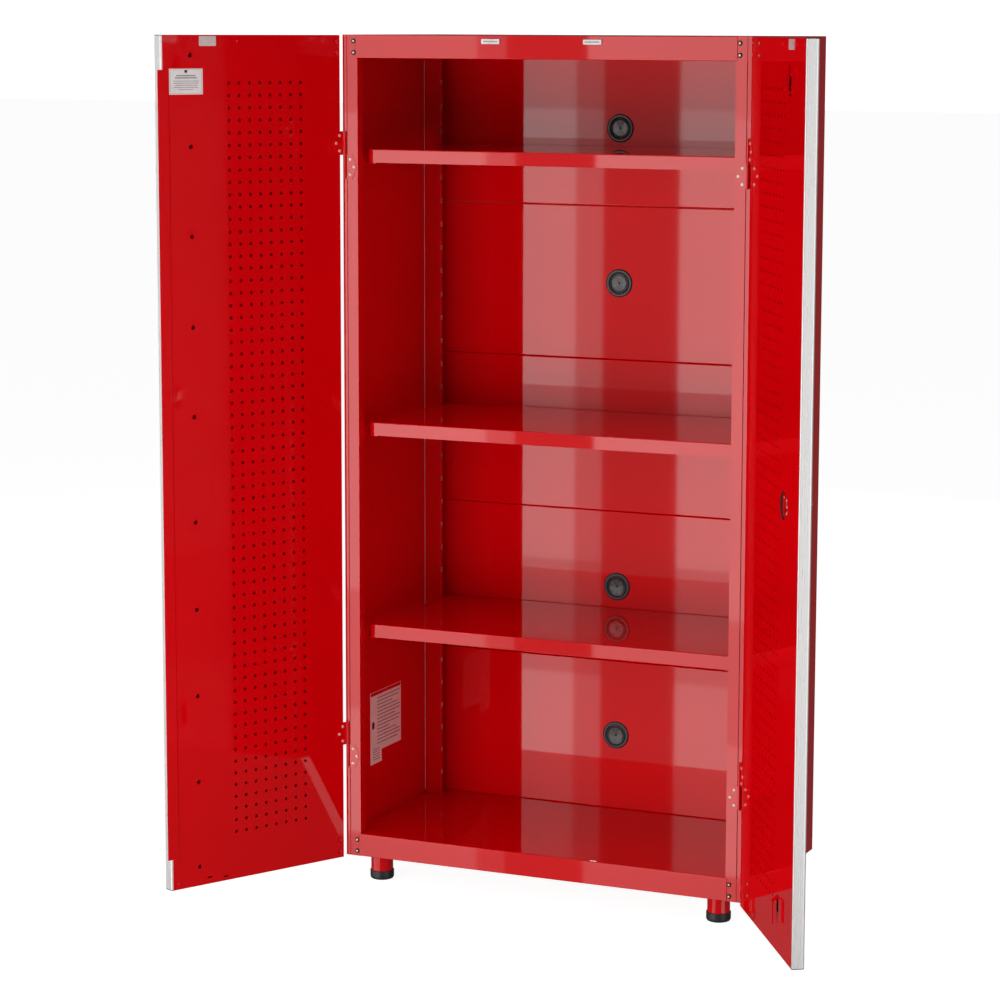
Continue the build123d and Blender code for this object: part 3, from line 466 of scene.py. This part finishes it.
def label_pieces():
    """Plain bars in place of the small print on the two stickers."""
    along, up = LABEL_CENTRE
    left = leaf_matrix(-1) @ Matrix.Translation((along, LEAF_INNER + 0.0002, up))
    mark = [(0.0, 0.0205, 0.007, 0.006)]
    detail("left_label_mark", printed_bars(mark), "print_and_shade_black", "left_door", left)
    lines = [(0.0, 0.0120, 0.046, 0.0026), (0.0, 0.0075, 0.052, 0.0026)]
    for index, width in enumerate((0.060, 0.060, 0.052, 0.058, 0.036)):
        lines.append((0.0, 0.0010 - 0.0042 * index, width, 0.0012))
    lines += [
        (0.0, 0.0240, 0.074, 0.0005),
        (0.0, -0.0240, 0.074, 0.0005),
        (0.0370, 0.0, 0.0005, 0.048),
        (-0.0370, 0.0, 0.0005, 0.048),
    ]
    detail("left_label_lines", printed_bars(lines), "print_grey", "left_door", left)

    # Bars on the interior label are laid out as shares of its width and height
    low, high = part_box("interior_label")
    face = Matrix((
        Vector((0, 1, 0)), Vector((1, 0, 0)), Vector((0, 0, 1)),
    )).transposed().to_4x4()
    wide, tall = high[1] - low[1], high[2] - low[2]
    centre_y = (low[1] + high[1]) / 2
    place = Matrix.Translation((high[0], centre_y, high[2])) @ face
    detail(
        "interior_label_band",
        printed_bars([(0.0, -0.0045, wide - 0.002, 0.0075)]),
        "red_paint", "carcass", place,
    )
    lines = []
    widths = (0.74, 0.70, 0.50, 0.66, 0.74, 0.74, 0.58, 0.74, 0.70, 0.40, 0.62, 0.74, 0.74, 0.66)
    step = (tall * 0.68) / len(widths)
    for index, share in enumerate(widths):
        length = wide * share
        lines.append((-0.28 * wide + length / 2, -0.016 - step * index, length, step * 0.34))
    for index in range(5):
        lines.append((-wide * 0.31, -tall * (0.80 + 0.035 * index), wide * 0.22, step * 0.3))
    detail("interior_label_lines", printed_bars(lines), "print_grey", "carcass", place)
    detail(
        "interior_label_mark",
        printed_bars([(-wide * 0.41, -tall * 0.46, wide * 0.08, tall * 0.10)]),
        "print_and_shade_black", "carcass", place,
    )


def door_details():
    """Dimples behind the clearance holes, and rims of the keyholes in the left lining."""
    holes = [(CLEARANCE_ALONG, z) for z in CORNER_SCREW_HEIGHTS]
    cups = dished_cups(holes, 0.0062, 0.0026)
    for side, name in SIDES:
        place = leaf_matrix(side) @ Matrix.Translation((0, LEAF_INNER - 0.0001, 0))
        detail(f"{name}_screw_dimples", cups, "red_paint", f"{name}_door", place)
    keyholes = [(KEYHOLE_ALONG, z) for z in KEYHOLE_HEIGHTS]
    lip = [(0.0042, -0.0002), (0.0044, 0.0005), (0.0052, 0.0005), (0.0060, -0.0002)]
    place = leaf_matrix(-1) @ Matrix.Translation((0, LEAF_INNER, 0))
    detail("keyhole_rims", ring_profile(keyholes, lip), "red_paint", "left_door", place)


def slot_rims():
    """Raised rims round the shelf slots in the rear posts, in bright steel as painted highlights on
    the punched edges.
    """
    def build(work):
        for index in range(SHELF_SLOT_COUNT):
            z = SHELF_SLOT_TOP - SHELF_SLOT_PITCH * index
            for y, zc, wide, tall in (
                (-0.0024, 0.0, 0.0012, 0.0092),
                (0.0024, 0.0, 0.0012, 0.0092),
                (0.0, 0.0046, 0.0036, 0.0012),
                (0.0, -0.0046, 0.0036, 0.0012),
            ):
                corners = []
                for depth in (0.0, 0.0003):
                    for dy, dz in ((-1, -1), (1, -1), (1, 1), (-1, 1)):
                        corners.append(work.verts.new((
                            depth, y + dy * wide / 2, z + zc + dz * tall / 2,
                        )))
                back, front = corners[:4], corners[4:]
                work.faces.new(back)
                work.faces.new(front)
                bridge(work, back, front)

    for side, name in SIDES:
        place = Matrix.Translation((side * SHELF_SLOT_X, SHELF_SLOT_Y, 0))
        if side > 0:
            place = place @ Matrix.Scale(-1, 4, (1, 0, 0))
        # Bright steel: painted highlights on the slot edges
        detail(f"rear_slot_highlights_{name}", build, "strike_steel", "carcass", place)


def lock_pocket():
    """Painted shade and painted glints in the round lock pocket of the right door: a black cup
    lining the pocket, and three bright studs in it.
    """
    along, up = LOCK_CENTRE
    place = leaf_matrix(1) @ Matrix.Translation((along, 0, up))
    # Black cup: painted shade inside the pocket
    wall = [
        (0.0284, -0.0031), (0.0284, -0.0258), (0.0150, -0.0262),
        (0.0150, -0.0259), (0.0281, -0.0255), (0.0281, -0.0031),
    ]
    lining = ring_profile([(0.0, 0.0)], wall, 48)
    detail("lock_pocket_painted_shade", lining, "print_and_shade_black", "right_door", place)
    # Bright studs: painted glints on the lock housing
    stud = [
        (0.0002, -0.0032), (0.0024, -0.0035), (0.0034, -0.0048),
        (0.0034, -0.0110), (0.0002, -0.0110),
    ]
    spots = [(0.0185, -0.0130), (0.0205, 0.0), (0.0185, 0.0130)]
    studs = ring_profile(spots, stud, 20)
    detail("lock_pocket_glint_studs", studs, "strike_steel", "right_door", place)


def bend_highlight_beads():
    """Painted highlight: a thin pale bead in the bend where each rear post meets its side wall,
    standing in for the light caught there.
    """
    radius, bottom, top = 0.0007, 0.112, 1.772

    def build(work):
        loops = []
        for z in (bottom, top):
            loops.append([
                work.verts.new((
                    radius * math.cos(math.radians(45 * k)),
                    radius * math.sin(math.radians(45 * k)),
                    z,
                ))
                for k in range(8)
            ])
        bridge(work, loops[0], loops[1])
        for loop in loops:
            work.faces.new(loop)

    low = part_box("rear_post_left")[0]
    for side, name in SIDES:
        place = Matrix.Translation((side * (abs(low[0]) - 0.0009), low[1] - 0.0005, 0))
        detail(f"post_bend_highlight_{name}", build, "painted_highlight_edge", "carcass", place)


def grommet_pleats():
    """Pleated flexible face of each cable grommet cap."""
    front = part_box("grommet_caps")[0][1]
    count = 16

    def build(work):
        for z in GROMMET_HEIGHTS:
            rings = []
            for radius, shallow, deep in (
                (0.0030, -0.0006, -0.0008),
                (0.0168, -0.0009, -0.0024),
                (0.0168, -0.0003, -0.0003),
                (0.0030, -0.0002, -0.0002),
            ):
                rings.append([
                    work.verts.new((
                        radius * math.cos(2 * math.pi * k / count),
                        deep if k % 2 else shallow,
                        z + radius * math.sin(2 * math.pi * k / count),
                    ))
                    for k in range(count)
                ])
            for index in range(4):
                first, second = rings[index], rings[(index + 1) % 4]
                for k in range(count):
                    other = (k + 1) % count
                    work.faces.new((first[k], first[other], second[other]))
                    work.faces.new((first[k], second[other], second[k]))

    place = Matrix.Translation((0, front + 0.0026, 0))
    detail("grommet_cap_pleats", build, "cap_rubber", "carcass", place)


def corner_screw_shadows_and_sockets():
    """Painted shadow ring round each corner screw, and its brassed socket, turned to face the
    front.
    """
    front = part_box("corner_screws")[0][1]
    screws = [(x, z) for x in (CORNER_SCREW_X, -CORNER_SCREW_X)
              for z in CORNER_SCREW_HEIGHTS]
    # Black ring: painted shadow round the screw head
    shade = [(0.0040, -0.0004), (0.0040, 0.0006), (0.0054, 0.0002), (0.0054, -0.0004)]
    socket = [(0.0006, -0.0001), (0.0019, -0.0001), (0.0021, 0.0004), (0.0006, 0.0004)]
    turn = Matrix.Rotation(math.pi, 4, "Z")
    for name, profile, segments, material, inset in (
        ("corner_screw_shadow_rings", shade, 24, "print_and_shade_black", 0.002),
        ("corner_screw_sockets", socket, 20, "brass_screw", 0.0),
    ):
        place = Matrix.Translation((0, front + inset, 0)) @ turn
        detail(name, ring_profile(screws, profile, segments), material, "carcass", place)


label_pieces()
door_details()
slot_rims()
lock_pocket()
bend_highlight_beads()
grommet_pleats()
corner_screw_shadows_and_sockets()
